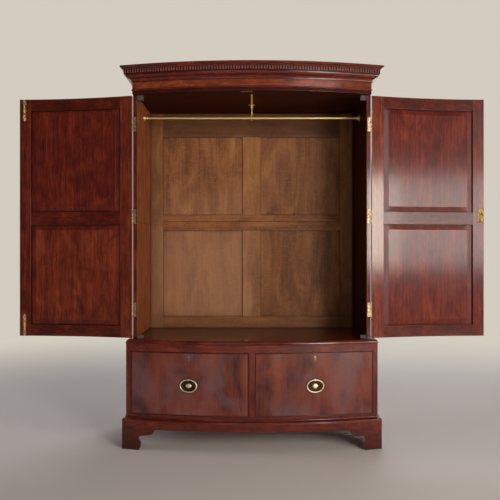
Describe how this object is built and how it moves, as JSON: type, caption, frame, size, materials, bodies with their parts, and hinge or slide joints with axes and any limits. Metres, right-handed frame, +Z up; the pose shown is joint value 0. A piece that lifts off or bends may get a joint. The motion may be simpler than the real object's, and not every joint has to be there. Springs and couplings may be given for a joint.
{
  "type": "linen press",
  "caption": "Bow-fronted mahogany linen press fitted as a wardrobe: panelled doors, brass hanging rail, drawers below, dentil cornice and bracket feet.",
  "frame": {"origin": "centre of the footprint (the box round the object) on the floor", "axes": "+X to the viewer's right along the front, +Y from the front to the back, +Z up"},
  "size_m": [2.5276, 0.7033, 2],
  "materials": {
    "mahogany": "french polished mahogany",
    "oak_back": "waxed oak",
    "drawer_lining": "plain unpolished softwood and oak lining",
    "brass": "worn polished brass",
    "aged_brass": "aged darkened brass",
    "brass_screws": "turned brass screw heads",
    "corner_block": "pale grey painted wood"
  },
  "bodies": {
    "case": {"back_frame": "oak_back", "back_panels": "oak_back", "bolt_keeps": "brass", "case_hinge_leaves": "brass", "case_hinge_screws": "brass_screws", "chest_back": "drawer_lining", "chest_bottom_board": "mahogany", "chest_sides": "mahogany", "chest_top_board": "drawer_lining", "chest_top_rail": "mahogany", "corner_blocks": "corner_block", "cornice_crown": "mahogany", "cornice_dentils": "mahogany", "cornice_dust_board": "drawer_lining", "cornice_mouldings": "mahogany", "drawer_guides": "drawer_lining", "drawer_partition": "mahogany", "foot_blocks": "drawer_lining", "frieze_boards": "mahogany", "front_feet": "mahogany", "hanging_rail": "brass", "hinge_pins": "brass", "plinth_aprons": "mahogany", "plinth_moulding": "mahogany", "rail_hanger": "brass", "rail_sockets": "brass", "rear_feet": "mahogany", "upper_ceiling_board": "mahogany", "upper_floor_board": "mahogany", "upper_sides": "mahogany", "waist_moulding": "mahogany"},
    "left_door": {"left_door_bolt_plates": "brass", "left_door_frame": "mahogany", "left_door_hinge_leaves": "brass", "left_door_mouldings": "mahogany", "left_door_panels": "mahogany", "left_door_screws": "brass_screws"},
    "right_door": {"door_lock": "brass", "right_door_frame": "mahogany", "right_door_hinge_leaves": "brass", "right_door_mouldings": "mahogany", "right_door_panels": "mahogany", "right_door_screws": "brass_screws"},
    "top_bolt": {"top_bolt": "brass"},
    "bottom_bolt": {"bottom_bolt": "brass"},
    "door_lock_bolt": {"door_lock_bolt": "brass"},
    "left_drawer": {"left_drawer_box": "drawer_lining", "left_drawer_cock_beads": "mahogany", "left_drawer_front": "mahogany", "left_drawer_handle_plate": "aged_brass", "left_drawer_lock": "brass"},
    "right_drawer": {"right_drawer_box": "drawer_lining", "right_drawer_cock_beads": "mahogany", "right_drawer_front": "mahogany", "right_drawer_handle_plate": "aged_brass", "right_drawer_lock": "brass"},
    "left_handle_ring": {"left_drawer_handle_ring": "brass"},
    "right_handle_ring": {"right_drawer_handle_ring": "brass"},
    "left_drawer_lock_bolt": {"left_drawer_lock_bolt": "brass"},
    "right_drawer_lock_bolt": {"right_drawer_lock_bolt": "brass"}
  },
  "joints": [
    {"name": "left_door_hinge", "type": "hinge", "parent": "case", "child": "left_door", "pos_m": [-0.6335, -0.17775, 1.216], "axis": [0, 0, 1], "range_deg": [-4, 181]},
    {"name": "right_door_hinge", "type": "hinge", "parent": "case", "child": "right_door", "pos_m": [0.6335, -0.17775, 1.216], "axis": [0, 0, -1], "range_deg": [-4, 181]},
    {"name": "top_bolt_slide", "type": "slide", "parent": "left_door", "child": "top_bolt", "axis": [0, 0, 1], "range_m": [0, 0.012]},
    {"name": "bottom_bolt_slide", "type": "slide", "parent": "left_door", "child": "bottom_bolt", "axis": [0, 0, -1], "range_m": [0, 0.012]},
    {"name": "door_lock_slide", "type": "slide", "parent": "right_door", "child": "door_lock_bolt", "axis": [0.9998, 0.0175, 0], "range_m": [0, 0.01]},
    {"name": "left_drawer_slide", "type": "slide", "parent": "case", "child": "left_drawer", "axis": [0, -1, 0], "range_m": [0, 0.4]},
    {"name": "left_handle_swing", "type": "hinge", "parent": "left_drawer", "child": "left_handle_ring", "pos_m": [-0.32627, -0.29211, 0.3725], "axis": [-0.9899, 0.142, 0], "range_deg": [0, 80]},
    {"name": "left_drawer_lock_slide", "type": "slide", "parent": "left_drawer", "child": "left_drawer_lock_bolt", "axis": [0, 0, 1], "range_m": [0, 0.008]},
    {"name": "right_drawer_slide", "type": "slide", "parent": "case", "child": "right_drawer", "axis": [0, -1, 0], "range_m": [0, 0.4]},
    {"name": "right_handle_swing", "type": "hinge", "parent": "right_drawer", "child": "right_handle_ring", "pos_m": [0.32627, -0.29211, 0.3725], "axis": [-0.9899, -0.142, 0], "range_deg": [0, 80]},
    {"name": "right_drawer_lock_slide", "type": "slide", "parent": "right_drawer", "child": "right_drawer_lock_bolt", "axis": [0, 0, 1], "range_m": [0, 0.008]}
  ]
}
